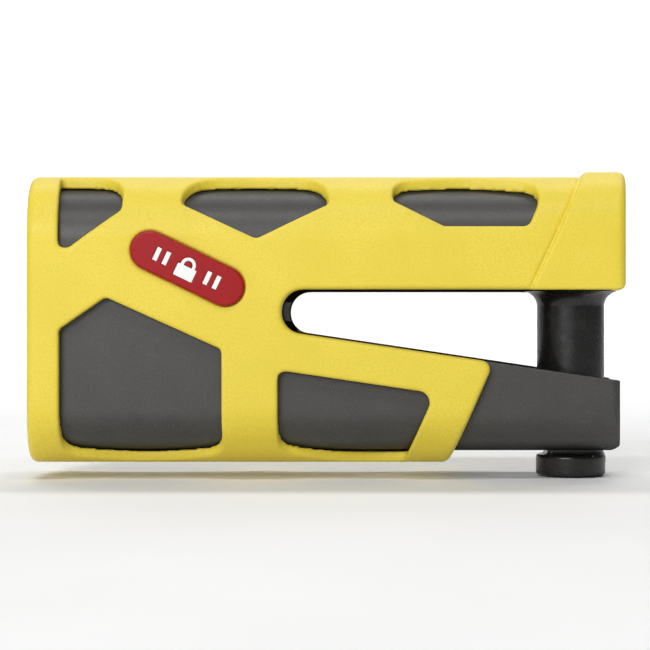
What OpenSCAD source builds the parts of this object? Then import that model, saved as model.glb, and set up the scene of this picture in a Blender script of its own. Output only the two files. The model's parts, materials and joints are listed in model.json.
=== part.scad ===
// Motorcycle brake disc lock. A fixed bolt hangs from the upper arm of a C-shaped frame, and a sliding
// jaw, the sled, carries the key cylinder at its rear end and a fork at its nose. Closed, the fork stands
// round the bolt's neck. A two-part web cover wraps both.
// Frame of the model: X runs from the rear end to the nose, -Y is the front face, +Z is up.
// The origin is on the bolt's axis, about half way up the mouth. Millimetres.

/* [Locking bolt] */
// Diameter of the bolt that passes through the brake disc
bolt_d = 13; // [12:0.5:13]
// Height of the lowest point of the bolt's head
bolt_end_z = -27.5; // [-28:0.1:-27]

/* [Cover] */
// Overall thickness of the web cover
cover_t = 30; // [29.5:0.1:31]
// Rear end of the cover, at its middle
rear_x = -103.6; // [-104:0.1:-103.4]
// Nose end of the upper arm, at its middle
nose_x = 9.8; // [9.6:0.1:10]
// Top of the cover
top_z = 29.85; // [29.5:0.05:30.5]
// Bottom of the cover
bottom_z = -24.8; // [-25.2:0.05:-24.6]
// How far the nose cap stands above the cover
cap_rise = 0.95; // [0.4:0.05:1.2]

/* [Mouth] */
// Height of the mouth's roof
roof_z = 8; // [7.8:0.1:8.4]
// Height of the mouth's floor at the bolt's axis
floor_z0 = -7.83; // [-8.4:0.01:-7.6]
// Slope of the mouth's floor, in degrees
floor_slope = 8.41; // [8:0.01:9]
// Inner end of the mouth
throat_x = -55.1; // [-55.4:0.1:-54.8]

/* [Sled] */
// Thickness of the sliding jaw
sled_t = 26; // [25.6:0.1:26]
// Underside of the jaw
sled_bottom_z = -22.5; // [-22.6:0.05:-22.4]
// Tip of the jaw's fork
sled_nose_x = 8.3; // [8:0.1:8.6]
// How far the jaw slides back to open
travel = 25; // [24:0.5:25]

/* [Key cylinder] */
// Height of the cylinder's axis
cyl_z = -4; // [-4.1:0.05:-3.9]
// Diameter of the cylinder barrel
barrel_d = 17; // [16.6:0.1:17]
// Number of detainer discs
discs = 10; // [9:1:10]

/* [Hidden] */
$fn = 48;

yellow = "#e6cf3d";
graphite = "#4a4947";
black = "#1f1e1d";
steel = "#b4b6b8";
brass = "#c8a548";
red = "#b5161f";
white = "#f4f4f2";
slide_gap = 0.1;

// Section radii and inner sizes
cover_r = 12.5;
cover_bottom_r = 11;
bow_r = 90;
frame_t = 27;
frame_r = 10.5;
frame_top_z = top_z - 2.3;
frame_rear_x = rear_x + 3.3;
frame_nose_x = nose_x - 3.2;
sled_r = 8;
sled_rear_x = rear_x + 3.3;
cover_bore_gap = 0.25;
throat_r = 4;

// The frame's web and keel, and the slot that the keel runs in
keel_x0 = -63;
keel_x1 = -57;
keel_half = 4;
keel_end_z = -20.2;
slot_x0 = keel_x0 - 0.3;
slot_x1 = keel_x1 + travel + 0.9;
rail_z0 = -9;
rail_z1 = -6;
rail_in = 2.3;
rail_out = 7;

// The latch, its yoke and the cam pin that drives it
latch_x0 = -72.9;
latch_x1 = -65.1;
latch_half = 4.9;
latch_top_z = 7.4;
latch_foot_z = -8.5;
latch_pocket_z = -12.5;
cam_throw = 3;
cam_pin_r = 1.5;
cam_pin_y = cam_throw * cos(45);
cam_pin_z = cyl_z - cam_throw * sin(45);
latch_lift = 2 * cam_throw * sin(45);
latch_spring_x = -67.9;

// The ejector spring's bore
eject_z = -16.9;
eject_r = 3.6;
spring_plug_r = 4.07;

// The pin that keeps the cylinder in the sled
lock_pin_x = -86;
lock_pin_r = 1.25;
lock_pin_z = cyl_z - barrel_d / 2 + 0.6;
lock_pin_y0 = -9;

// The bolt's neck, where the fork grips it
bolt_r = bolt_d / 2;
neck_top_z = -12.5;
head_top_z = -23.6;
neck_half = 4.7;
neck_rear_x = -4.85;
flare_w = 2.1;
flare_h = 2.9;
bolt_top_z = 24;

// Lines of the web pattern
cut_lean = 0.44;
barrel_r = barrel_d / 2;
barrel_x0 = sled_rear_x + 2.2;
barrel_x1 = -76;
plug_r = 6.4;
screw_spots = [[-86, 13.2], [-59.3, 5.2], [-40.6, 17.5], [-14.5, 13.5]];
screw_boss_r = 3.2;
nut_boss_r = 2.4;
boss_skin = 0.8;
nut_boss_len = 8;
screw_boss_len = 3.4;
badge_at = [-72.5, 11.9];
badge_tilt = -25.7;
badge_half_len = 7.7;
badge_r = 3.66;

function floor_z(x) = floor_z0 - tan(floor_slope) * x;
function unit(v) = v / norm(v);

// Points of the arc of radius r that rounds corner q between its neighbours p and s
function corner(p, q, s, r, n) =
    r <= 0 ? [q] :
    let (u = unit(p - q), v = unit(s - q), half = acos(u * v) / 2, c = q + unit(u + v) * r / sin(half),
         a0 = q + u * r / tan(half) - c, a1 = q + v * r / tan(half) - c,
         turn = (a0.x * a1.y - a0.y * a1.x) > 0 ? 1 : -1, sweep = turn * (180 - 2 * half))
    [for (i = [0:n])
        let (t = sweep * i / n)
        c + [a0.x * cos(t) - a0.y * sin(t), a0.x * sin(t) + a0.y * cos(t)]];

// Outline through points given as [x, y, corner radius]
function rounded(pts, n = 6) =
    let (m = len(pts))
    [for (i = [0:m - 1])
        let (p = pts[(i + m - 1) % m], q = pts[i], s = pts[(i + 1) % m])
        each corner([p.x, p.y], [q.x, q.y], [s.x, s.y], q.z, n)];

// An outline in X and Z, extruded through the thickness t
module side(pts, t, n = 6) {
    rotate([90, 0, 0]) linear_extrude(t, center = true) polygon(rounded(pts, n));
}

// An outline in X and Y, extruded from z0 to z1
module plan(pts, z0, z1, n = 6) {
    translate([0, 0, z0]) linear_extrude(z1 - z0) polygon(rounded(pts, n));
}

// A bar along X with a rounded rectangular section, t thick in Y
module bar_x(x0, x1, t, z0, z1, r_low, r_high) {
    translate([x0, 0, 0]) rotate([90, 0, 90]) linear_extrude(x1 - x0)
        polygon(rounded([[-t / 2, z0, r_low], [t / 2, z0, r_low], [t / 2, z1, r_high], [-t / 2, z1, r_high]], 12));
}

module block(x0, x1, half, z0, z1) {
    translate([x0, -half, z0]) cube([x1 - x0, 2 * half, z1 - z0]);
}

module rod_x(x0, x1, r, y = 0, z = 0) {
    translate([x0, y, z]) rotate([0, 90, 0]) cylinder(h = x1 - x0, r = r);
}

module rod_y(x, z, r, y0, y1) {
    translate([x, y0, z]) rotate([-90, 0, 0]) cylinder(h = y1 - y0, r = r);
}

// The open space of the mouth, seen from the front
module mouth(t) {
    far = 40;
    side([[throat_x, floor_z(throat_x), throat_r], [far, floor_z(far), 0], [far, roof_z, 0],
        [throat_x, roof_z, throat_r]], t, 10);
}

// ---- Cover -------------------------------------------------------------------------------------------

sheath_x = -15.55;
sheath_low_x = sheath_x - cut_lean * (floor_z(sheath_x) - bottom_z);
cap_low_x = -8.6;
cap_proud = 0.2;

module cover_outside() {
    intersection() {
        bar_x(rear_x, nose_x, cover_t, bottom_z, top_z, cover_bottom_r, cover_r);
        side([[rear_x, bottom_z, 2], [sheath_low_x, bottom_z, 1.2], [sheath_x, floor_z(sheath_x), 1.8],
            [throat_x, floor_z(throat_x), throat_r], [throat_x, roof_z, throat_r], [nose_x, roof_z, 0.7],
            [nose_x, top_z, 2], [rear_x, top_z, 2]], cover_t + 10);
        bow(nose_x - bow_r);
        bow(rear_x + bow_r);
    }
    nose_cap();
}

// The ends are bowed as seen from above, by this cylinder round x
module bow(x) {
    translate([x, 0, -40]) cylinder(h = 80, r = bow_r, $fn = 240);
}

// The raised cap at the nose, bounded by a leaning crease
module cap_profile(t) {
    cap_z = top_z + cap_rise;
    crease = 0.47;
    side([[cap_low_x, roof_z, 0], [nose_x + cap_proud, roof_z, 0.7], [nose_x + cap_proud, cap_z, 1.7],
        [cap_low_x + crease * (cap_z - roof_z), cap_z, 1.5]], t);
}

module nose_cap() {
    intersection() {
        bar_x(cap_low_x, nose_x + 1, cover_t + 2 * cap_proud, roof_z, top_z + cap_rise, 0, cover_r);
        cap_profile(cover_t + 10);
        bow(nose_x + cap_proud - bow_r);
    }
}

// The space inside the cover: the frame's upper arm, and the tunnel that the sled runs in
module cover_inside() {
    bar_x(frame_rear_x - slide_gap, frame_nose_x + slide_gap, frame_t + 2 * slide_gap, roof_z - 1,
        frame_top_z + slide_gap, 0, frame_r);
    bar_x(rear_x - 5, nose_x + 20, sled_t + 2 * cover_bore_gap, sled_bottom_z - cover_bore_gap, roof_z,
        sled_r, 0);
}

// One window of the web: its outline from the front, met by its outline from above, so that it wraps
// round the edge and stops at the spine. Both sides of the lock have it.
module window(front, above) {
    intersection() {
        side(front, 3 * cover_t);
        for (s = [-1, 1]) scale([1, s, 1]) plan(above, -40, 40);
    }
}

module cover_windows() {
    high = top_z + 6;
    low = bottom_z - 6;
    out = cover_t;
    // upper row
    window([[-98.6, high, 0], [-96.8, 14.2, 1.8], [-84.8, 23, 2], [-84.8, high, 0]],
        [[-94.9, out, 0], [-84.8, out, 0], [-84.8, 6.2, 7], [-97.7, 5.6, 0.5]]);
    window([[-74.2, high, 0], [-74.2, 24.1, 1.6], [-59.8, 17.4, 1.7], [-46.1, 24.1, 1.6], [-46.1, high, 0]],
        [[-74.2, out, 0], [-46.1, out, 0], [-46.1, 6.9, 8], [-60.2, 5.7, 40], [-74.2, 6.6, 8]]);
    window([[-34.6, high, 0], [-34.6, 24.7, 1.4], [-24.9, 19.75, 0.8], [-9.1, 19.75, 1.6],
        [-9.1 + 0.45 * (high - 19.75), high, 0]],
        [[-34.6, out, 0], [-7.1, out, 0], [-7.1, 8.8, 4], [-21.5, 5.9, 25], [-34.6, 7.9, 4.5]]);
    // lower row
    window([[-96.6, low, 0], [-96.6, 0.5, 1.4], [-87.8, 6.6, 1.4], [-66.1, -3.2, 1.5], [-66.1, low, 0]],
        [[-96.6, out, 0], [-66.1, out, 0], [-66.1, 10.1, 4.2], [-80.5, 6.7, 30], [-96.6, 10.1, 4.6]]);
    window([[-56, low, 0], [-56, -6.95, 1.7], [-26.6, -11.3, 2.2],
        [-26.6 - cut_lean * (-11.3 - low), low, 0]],
        [[-56, out, 0], [-24, out, 0], [-24, 9.6, 0], [-38, 5, 16], [-56, 10.9, 4.2]]);
}

// Half of the cover: sign -1 is the front, 1 the rear
module cover_half(sign) {
    difference() {
        cover_outside();
        cover_inside();
        cover_windows();
        seal_ring(0.03);
        translate([-150, sign > 0 ? -50 : 0, -60]) cube([200, 50, 120]);
    }
}

// The inner faces that the screw bosses grow from
boss_y = cover_t / 2 - boss_skin;
head_seat_y = cover_t / 2 - 2.4;

module front_cover() {
    color(yellow) difference() {
        union() {
            cover_half(-1);
            for (at = screw_spots) rod_y(at.x, at.y, nut_boss_r, -boss_y, -boss_y + nut_boss_len);
        }
        for (at = screw_spots) rod_y(at.x, at.y, screw_core_r + 0.05, -boss_y + 1.2, 0);
        badge_body(0.5, 0.05);
    }
}

module rear_cover() {
    color(yellow) difference() {
        union() {
            cover_half(1);
            for (at = screw_spots) rod_y(at.x, at.y, screw_boss_r, boss_y - screw_boss_len, boss_y);
        }
        for (at = screw_spots) {
            rod_y(at.x, at.y, screw_shank_r + 0.15, 0, cover_t);
            rod_y(at.x, at.y, screw_head_r + 0.15, head_seat_y, cover_t);
        }
    }
}

screw_core_r = 1.1;
screw_shank_r = 1.45;
screw_head_r = 2.5;

module cover_screws() {
    color(steel) for (at = screw_spots) difference() {
        union() {
            rod_y(at.x, at.y, screw_core_r, -boss_y + 1.8, head_seat_y);
            rod_y(at.x, at.y, screw_shank_r, -4, head_seat_y);
            rod_y(at.x, at.y, screw_head_r, head_seat_y, head_seat_y + 1.7);
        }
        translate([at.x, head_seat_y + 0.5, at.y]) rotate([-90, 0, 0]) cylinder(h = 3, r = 1.3, $fn = 6);
    }
}

// ---- Badge -------------------------------------------------------------------------------------------

module pill_y(half_len, r, y0, y1) {
    translate([badge_at.x, 0, badge_at.y]) rotate([0, -badge_tilt, 0]) {
        for (s = [-1, 1]) rod_y(s * half_len, 0, r, y0, y1);
        translate([-half_len, y0, -r]) cube([2 * half_len, y1 - y0, 2 * r]);
    }
}

module badge_body(depth, gap) {
    pill_y(badge_half_len, badge_r + gap, -cover_t / 2 - 2, -cover_t / 2 + depth);
}

module badge_plate() {
    color(red) difference() {
        union() {
            pill_y(badge_half_len, badge_r, -cover_t / 2 - 0.55, -cover_t / 2 + 0.45);
            pill_y(badge_half_len, badge_r - 0.45, -cover_t / 2 - 0.8, -cover_t / 2 + 0.45);
        }
        badge_glyphs(-cover_t / 2 - 0.6, 0.06);
    }
}

// A plain closed padlock between two pairs of bars
module badge_glyphs(y_in, grow) {
    y_out = -cover_t / 2 - 2;
    translate([badge_at.x, 0, badge_at.y]) rotate([0, -badge_tilt, 0]) {
        translate([-1.9 - grow, y_out, -2.1 - grow]) cube([3.8 + 2 * grow, y_in - y_out, 2.4 + 2 * grow]);
        difference() {
            rod_y(0, 0.6, 1.45 + grow, y_out, y_in);
            rod_y(0, 0.6, 0.8 - grow, y_out - 1, y_in + 1);
            translate([-3, y_out - 1, -3]) cube([6, 4 + y_in - y_out, 3 + 0.3 - grow]);
        }
        for (s = [-1, 1], k = [0, 1])
            translate([s * (4.2 + 1.9 * k) - 0.45 - grow, y_out, -1.3 - grow])
                cube([0.9 + 2 * grow, y_in - y_out, 2.6 + 2 * grow]);
    }
}

module badge_emblem() {
    color(white) intersection() {
        badge_glyphs(-cover_t / 2 - 0.6, 0);
        pill_y(badge_half_len, badge_r, -cover_t / 2 - 0.9, -cover_t / 2);
    }
}

// ---- Frame and bolt ----------------------------------------------------------------------------------

module lock_frame() {
    web_gap = 0.2;
    color(graphite) difference() {
        union() {
            intersection() {
                bar_x(frame_rear_x, frame_nose_x, frame_t, roof_z - 30, frame_top_z, 0, frame_r);
                union() {
                    block(frame_rear_x - 1, frame_nose_x + 1, frame_t, roof_z, frame_top_z + 1);
                    difference() {
                        side([[keel_x0, floor_z(keel_x0) + web_gap, 0], [keel_x0, roof_z + 1, 0],
                            [throat_x + throat_r, roof_z + 1, 0],
                            [throat_x + throat_r, floor_z(throat_x + throat_r) + web_gap, 0]], sled_t + 0.2);
                        mouth(cover_t + 10);
                        block(throat_x + 2.6, nose_x, frame_t, -10, 3);
                    }
                }
            }
            block(keel_x0, keel_x1, keel_half, keel_end_z, roof_z);
        }
        // bore for the bolt and its cross pin
        translate([0, 0, roof_z - 1]) cylinder(h = bolt_top_z + 0.2 - roof_z + 1, r = bolt_r + 0.02);
        rod_y(0, 18, 2.02, -frame_t, frame_t);
        // pockets that the latch rises into, closed and open
        for (dx = [0, -travel])
            block(latch_x0 - 0.4 + dx, latch_x1 + 0.4 + dx, latch_half + 0.4, roof_z - 1,
                latch_top_z + latch_lift + 1);
        // keel grooves for the guide rails
        for (s = [-1, 1])
            translate([keel_x0 - 1, s > 0 ? rail_in - 0.15 : -keel_half - 1, rail_z0 - 0.15])
                cube([8, keel_half + 1.15 - rail_in, rail_z1 - rail_z0 + 0.3]);
        // passages for the cover screws and bosses
        for (at = screw_spots) {
            rod_y(at.x, at.y, screw_shank_r + 0.25, -cover_t, cover_t);
            rod_y(at.x, at.y, nut_boss_r + 0.2, -cover_t, -boss_y + nut_boss_len + 0.3);
            rod_y(at.x, at.y, screw_boss_r + 0.2, boss_y - screw_boss_len - 0.3, cover_t);
        }
        // seat for the liner in the throat
        throat_liner_space(0.05);
    }
}

// The bolt: shank, flared root, milled neck and head
module locking_bolt() {
    head_r = bolt_r + 0.15;
    root_z = roof_z - 0.05;
    color(black) difference() {
        union() {
            rotate_extrude() polygon([[0, neck_top_z], [bolt_r, neck_top_z],
                for (i = [0:8]) let (a = 90 * i / 8)
                    [bolt_r + flare_w * (1 - cos(a)), root_z - flare_h + flare_h * sin(a)],
                [bolt_r, root_z], [bolt_r, bolt_top_z - 1], [bolt_r - 1, bolt_top_z], [0, bolt_top_z]]);
            intersection() {
                translate([0, 0, head_top_z - 1]) cylinder(h = neck_top_z - head_top_z + 2, r = bolt_r - 0.2);
                translate([neck_rear_x, -neck_half, head_top_z - 1])
                    cube([20, 2 * neck_half, neck_top_z - head_top_z + 2]);
            }
            rotate_extrude() polygon([[0, bolt_end_z], [head_r - 0.6, bolt_end_z], [head_r, bolt_end_z + 0.6],
                [head_r, head_top_z - 0.2], [head_r - 0.2, head_top_z], [0, head_top_z]]);
        }
        rod_y(0, 18, 2.02, -20, 20);
    }
}

module bolt_cross_pin() {
    color(steel) rod_y(0, 18, 2, -frame_t / 2 + 0.3, frame_t / 2 - 0.3);
}

// A thin rubber pad on the inner end of the mouth, where the disc's rim would strike
module throat_liner_space(gap) {
    translate([throat_x - 1.2 - gap, -8 - gap, 2.2 - gap]) cube([3, 16 + 2 * gap, 3.6 + 2 * gap]);
}

module throat_liner() {
    color(black) difference() {
        throat_liner_space(0);
        mouth(cover_t + 10);
    }
}

// A wiping ring that sits in a groove inside the rear opening and keeps dirt out of the tunnel
seal_x = rear_x + 1.85;

module seal_ring(gap) {
    deep = 1.7 + 2 * gap;
    bar_x(seal_x - gap, seal_x + 1 + gap, sled_t + deep, sled_bottom_z - deep / 2, roof_z - 0.2 + deep / 2,
        sled_r + deep / 2, 1);
}

module wiper_seal() {
    lip = 0.08;
    color(black) difference() {
        seal_ring(0);
        bar_x(seal_x - 1, seal_x + 3, sled_t + 2 * lip, sled_bottom_z - lip, roof_z - 0.3 + lip,
            sled_r + lip, 0);
    }
}

// ---- Sled --------------------------------------------------------------------------------------------

module sled_outline() {
    step_x = keel_x0 - 0.2;
    chamfer = 1.9;
    nose_z = floor_z(sled_nose_x);
    intersection() {
        bar_x(sled_rear_x, sled_nose_x, sled_t, sled_bottom_z, roof_z + 5, sled_r, 0);
        side([[sled_rear_x, sled_bottom_z, 0], [sled_nose_x - 1.4, sled_bottom_z, 0],
            [sled_nose_x, sled_bottom_z + 1.3, 0], [sled_nose_x, nose_z - 0.9, 0],
            [sled_nose_x - 0.5, nose_z, 0],
            [step_x, floor_z(step_x), 0], [step_x, roof_z - 0.3, 0], [sled_rear_x, roof_z - 0.3, 0]], sled_t + 5);
        plan([[sled_rear_x, -sled_t / 2, 0], [sled_nose_x - chamfer, -sled_t / 2, 0],
            [sled_nose_x, -sled_t / 2 + chamfer, 0], [sled_nose_x, sled_t / 2 - chamfer, 0],
            [sled_nose_x - chamfer, sled_t / 2, 0], [sled_rear_x, sled_t / 2, 0]], -30, 20);
    }
}

// The fork: a wide seat for the shank over a narrow slot for the neck
module fork_slot() {
    seat_r = bolt_r + 0.9;
    translate([0, 0, neck_top_z - 0.2]) cylinder(h = 20, r = seat_r);
    block(0, 20, seat_r, neck_top_z - 0.2, 10);
    block(neck_rear_x - 0.15, 20, neck_half + 0.15, sled_bottom_z - 1, 0);
}

module sled_jaw() {
    color(graphite) difference() {
        sled_outline();
        fork_slot();
        // keel slot and rail seats
        block(slot_x0, slot_x1, keel_half + 0.15, keel_end_z - 0.3, 10);
        for (s = [-1, 1])
            translate([slot_x0, s > 0 ? keel_half : -rail_out, rail_z0])
                cube([slot_x1 - slot_x0, rail_out - keel_half, rail_z1 - rail_z0]);
        // cylinder bore, cam space and latch well
        rod_x(sled_rear_x - 1, latch_x0, barrel_r + 0.03, 0, cyl_z);
        block(latch_x0 - 0.1, latch_x1 + 0.1, latch_half + 0.1, latch_pocket_z, 10);
        // ejector spring bore and its threaded mouth
        rod_x(sled_rear_x - 1, slot_x0 + 1, eject_r, 0, eject_z);
        rod_x(sled_rear_x - 1, sled_rear_x + 6, spring_plug_r + 0.03, 0, eject_z);
        // hole for the cylinder's retaining pin, drilled from the rear side
        rod_y(lock_pin_x, lock_pin_z, lock_pin_r + 0.02, lock_pin_y0 - 0.1, sled_t);
        // tapped holes for the end plate
        for (y = [-9.6, 9.6]) rod_x(sled_rear_x - 1, sled_rear_x + 6, 1.1, y, -16);
    }
}

module guide_rail(s) {
    color(steel) translate([slot_x0 + 0.05, s > 0 ? rail_in : -rail_out, rail_z0])
        cube([slot_x1 - slot_x0 - 0.1, rail_out - rail_in, rail_z1 - rail_z0]);
}

module end_buffer() {
    color(black) block(slot_x1 - 0.55, slot_x1, keel_half, -19, -11);
}

// ---- Key cylinder ------------------------------------------------------------------------------------

sidebar_x = barrel_x0 + 3;
sidebar_len = 15.4;
sidebar_half = 0.6;
disc_pitch = 1.7;
disc_w = 1;
disc_r = plug_r - 1.2;
disc_x0 = barrel_x0 + 1.4;
gate_floor = 4;

module cylinder_barrel() {
    color(brass) difference() {
        rod_x(barrel_x0, barrel_x1, barrel_r, 0, cyl_z);
        rod_x(barrel_x0 - 1, barrel_x1 + 1, plug_r + 0.04, 0, cyl_z);
        // groove that the sidebar springs into when the plug is turned to locked
        translate([sidebar_x - 0.2, -plug_r - 0.8, cyl_z - sidebar_half - 0.15])
            cube([sidebar_len + 0.4, 2, 2 * sidebar_half + 0.3]);
        rod_y(lock_pin_x, lock_pin_z, lock_pin_r + 0.02, -sled_t, sled_t);
    }
}

module cylinder_retaining_pin() {
    color(steel) rod_y(lock_pin_x, lock_pin_z, lock_pin_r, lock_pin_y0, sled_t / 2 - 0.3);
}

// The steel ring that closes the barrel's mouth and keeps the discs in
module barrel_cap_ring() {
    color(steel) difference() {
        rod_x(sled_rear_x + 0.1, barrel_x0, barrel_r, 0, cyl_z);
        rod_x(sled_rear_x - 1, barrel_x0 + 1, keyhole_r, 0, cyl_z);
    }
}

keyhole_r = 3.7;

// The slot for the key, a flat blade with a step. It lies across when the plug is turned to release.
module keyway(x0, x1) {
    translate([x0, -3.1, cyl_z - 0.9]) cube([x1 - x0, 6.2, 1.8]);
    translate([x0, -1.1, cyl_z - 1.6]) cube([x1 - x0, 2.2, 3.2]);
}

module cylinder_plug() {
    color(brass) difference() {
        union() {
            rod_x(barrel_x0 + 0.05, barrel_x1 + 0.2, plug_r, 0, cyl_z);
            rod_x(barrel_x1, barrel_x1 + 1.9, 2.4, 0, cyl_z);
        }
        // chamber for the detainer discs
        rod_x(barrel_x0 - 1, disc_x0 + discs * disc_pitch + 0.1, disc_r + 0.1, 0, cyl_z);
        // slot for the sidebar
        translate([sidebar_x - 0.05, -sidebar_half - 0.05, cyl_z + 2])
            cube([sidebar_len + 0.1, 2 * sidebar_half + 0.1, 6]);
    }
}

module detainer_discs() {
    color(steel) for (i = [0:discs - 1]) let (x = disc_x0 + i * disc_pitch) difference() {
        rod_x(x, x + disc_w, disc_r, 0, cyl_z);
        keyway(x - 1, x + 2);
        // the gate for the sidebar, and a false gate at the disc's own angle
        for (turn = [0, 60 + 25 * (i * 7 % discs)])
            translate([x - 1, 0, cyl_z]) rotate([turn, 0, 0])
                translate([0, -0.7, turn > 0 ? gate_floor + 0.7 : gate_floor]) cube([3, 1.4, 4]);
    }
}

module spacer_discs() {
    slack = 0.03;
    color(brass) for (i = [0:discs - 2]) let (x = disc_x0 + i * disc_pitch) difference() {
        rod_x(x + disc_w + slack, x + disc_pitch - slack, disc_r, 0, cyl_z);
        rod_x(x, x + 2, 3.6, 0, cyl_z);
        translate([x, -0.8, cyl_z + 3]) cube([2, 1.6, 5]);
    }
}

module drill_guard_disc() {
    color(steel) difference() {
        rod_x(barrel_x0 + 0.1, disc_x0 - 0.1, disc_r + 0.05, 0, cyl_z);
        keyway(barrel_x0 - 1, barrel_x0 + 3);
    }
}

// The bar that has dropped into the discs' gates, so that the plug can turn
module cylinder_sidebar() {
    color(steel) translate([sidebar_x, -sidebar_half, cyl_z + gate_floor + 0.1])
        cube([sidebar_len, 2 * sidebar_half, 2.2]);
}

// A coil of round wire about the line through (cx, cy) along Z, as short straight lengths of polygon tube
module coil(r, wire, length, turns, n = 16) {
    steps = turns * n;
    ring = 6;
    pts = [for (i = [0:steps], k = [0:ring - 1])
        let (a = 360 * i / n, b = 360 * k / ring, rr = r + wire * cos(b))
        [rr * cos(a), rr * sin(a), wire + (length - 2 * wire) * i / steps + wire * sin(b)]];
    quads = [for (i = [0:steps - 1], k = [0:ring - 1])
        [i * ring + k, i * ring + (k + 1) % ring, (i + 1) * ring + (k + 1) % ring, (i + 1) * ring + k]];
    caps = [[for (k = [ring - 1:-1:0]) k], [for (k = [0:ring - 1]) steps * ring + k]];
    polyhedron(points = pts, faces = concat(caps, quads), convexity = 10);
}

module cam_disc() {
    color(steel) difference() {
        union() {
            rod_x(barrel_x1 + 0.3, barrel_x1 + 2.1, 5, 0, cyl_z);
            rod_x(barrel_x1 + 2, latch_x0 + 1.9, cam_pin_r, cam_pin_y, cam_pin_z);
        }
        rod_x(barrel_x1 - 1, barrel_x1 + 1.92, 2.42, 0, cyl_z);
    }
}

module plug_circlip() {
    color(steel) difference() {
        rod_x(barrel_x1 + 0.02, barrel_x1 + 0.28, barrel_r - 0.9, 0, cyl_z);
        rod_x(barrel_x1 - 1, barrel_x1 + 1, plug_r + 0.02, 0, cyl_z);
    }
}

// ---- Latch and springs -------------------------------------------------------------------------------

module latch_bolt() {
    yoke_half = cam_pin_r + 0.15;
    color(steel) difference() {
        block(latch_x0, latch_x1, latch_half, latch_foot_z, latch_top_z);
        translate([latch_x0 - 1, 0.3, cam_pin_z - yoke_half]) cube([3.1, 10, 2 * yoke_half]);
        translate([latch_spring_x, 0, latch_foot_z - 1]) cylinder(h = 5, r = 2.3);
    }
}

module latch_spring() {
    color(steel) translate([latch_spring_x, 0, latch_pocket_z]) coil(1.7, 0.35, 7.9, 5);
}

module ejector_spring() {
    x0 = sled_rear_x + 6;
    color(steel) translate([x0, 0, eject_z]) rotate([0, 90, 0]) coil(2.9, 0.55, keel_x0 - x0 - 0.05, 14);
}

module spring_guide_rod() {
    color(steel) rod_x(sled_rear_x + 3, keel_x0 - 9, 1.6, 0, eject_z);
}

module spring_plug() {
    color(steel) difference() {
        rod_x(sled_rear_x + 0.4, sled_rear_x + 5.9, spring_plug_r, 0, eject_z);
        rod_x(sled_rear_x + 3, sled_rear_x + 8, 1.62, 0, eject_z);
        translate([sled_rear_x, 0, eject_z]) rotate([0, 90, 0]) cylinder(h = 2.4, r = 2, $fn = 6);
    }
}

// ---- Rear end ----------------------------------------------------------------------------------------

plate_w = 1.4;
plate_x = sled_rear_x - plate_w;
plate_screws = [[-9.6, -16], [9.6, -16]];
shutter_w = 0.7;
shutter_r = 4.1;
rivet_z = 4.2;
rivet_r = 0.8;

module rear_end_plate() {
    back = sled_rear_x + 1;
    color(black) difference() {
        bar_x(plate_x, sled_rear_x, sled_t - 1.6, sled_bottom_z + 0.8, roof_z - 1, sled_r - 0.8, 1);
        rod_x(plate_x - 1, back, keyhole_r, 0, cyl_z);
        rod_x(plate_x - 1, back, rivet_r + 0.01, 0, rivet_z);
        // recess that the keyhole shutter swings in
        intersection() {
            rod_x(plate_x - 1, plate_x + shutter_w + 0.1, 13, 0, rivet_z);
            block(plate_x - 2, plate_x + 1, 11.2, -20, rivet_z + 2.1);
        }
        for (at = plate_screws) {
            rod_x(plate_x - 1, back, 1.3, at.x, at.y);
            rod_x(plate_x - 1, plate_x + 0.7, 2.3, at.x, at.y);
        }
    }
}

module end_plate_screws() {
    color(steel) for (at = plate_screws) difference() {
        union() {
            rod_x(plate_x + 0.7, sled_rear_x + 5.5, 1.08, at.x, at.y);
            rod_x(plate_x + 0.05, plate_x + 0.7, 2.2, at.x, at.y);
        }
        translate([plate_x - 1, at.x, at.y]) rotate([0, 90, 0]) cylinder(h = 1.5, r = 1.1, $fn = 6);
    }
}

// The swinging shutter over the keyhole, hung from its rivet
module keyhole_shutter() {
    x0 = plate_x + 0.05;
    color(steel) difference() {
        union() {
            rod_x(x0, x0 + shutter_w - 0.05, shutter_r, 0, cyl_z);
            translate([x0, -1.8, cyl_z]) cube([shutter_w - 0.05, 3.6, rivet_z - cyl_z]);
            rod_x(x0, x0 + shutter_w - 0.05, 1.8, 0, rivet_z);
            // a small thumb rib
            translate([x0 - 0.4, -2.2, cyl_z - 2.6]) cube([0.6, 4.4, 0.7]);
        }
        rod_x(x0 - 1, x0 + 2, rivet_r + 0.05, 0, rivet_z);
    }
}

module shutter_rivet() {
    color(steel) union() {
        rod_x(plate_x - 0.3, sled_rear_x - 0.1, rivet_r, 0, rivet_z);
        rod_x(plate_x - 0.45, plate_x + 0.02, 1.4, 0, rivet_z);
    }
}

lock_frame();
locking_bolt();
bolt_cross_pin();
front_cover();
rear_cover();
cover_screws();
badge_plate();
badge_emblem();
throat_liner();
wiper_seal();
sled_jaw();
guide_rail(-1);  // front_guide_rail
guide_rail(1);  // rear_guide_rail
end_buffer();
cylinder_barrel();
cylinder_retaining_pin();
barrel_cap_ring();
spring_plug();
spring_guide_rod();
rear_end_plate();
end_plate_screws();
shutter_rivet();
cylinder_sidebar();
cylinder_plug();
detainer_discs();
spacer_discs();
drill_guard_disc();
cam_disc();
plug_circlip();
latch_bolt();
keyhole_shutter();
ejector_spring();
latch_spring();
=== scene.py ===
"""Looks of the brake disc lock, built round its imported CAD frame.

Cover halves, frame, jaw, bolt and badge are meshed from distance fields, which gives them the rounded
edges of moulded and coated parts. The other CAD pieces keep their own meshes. Every piece gets a
procedural material.
"""
import json
import math

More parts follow.
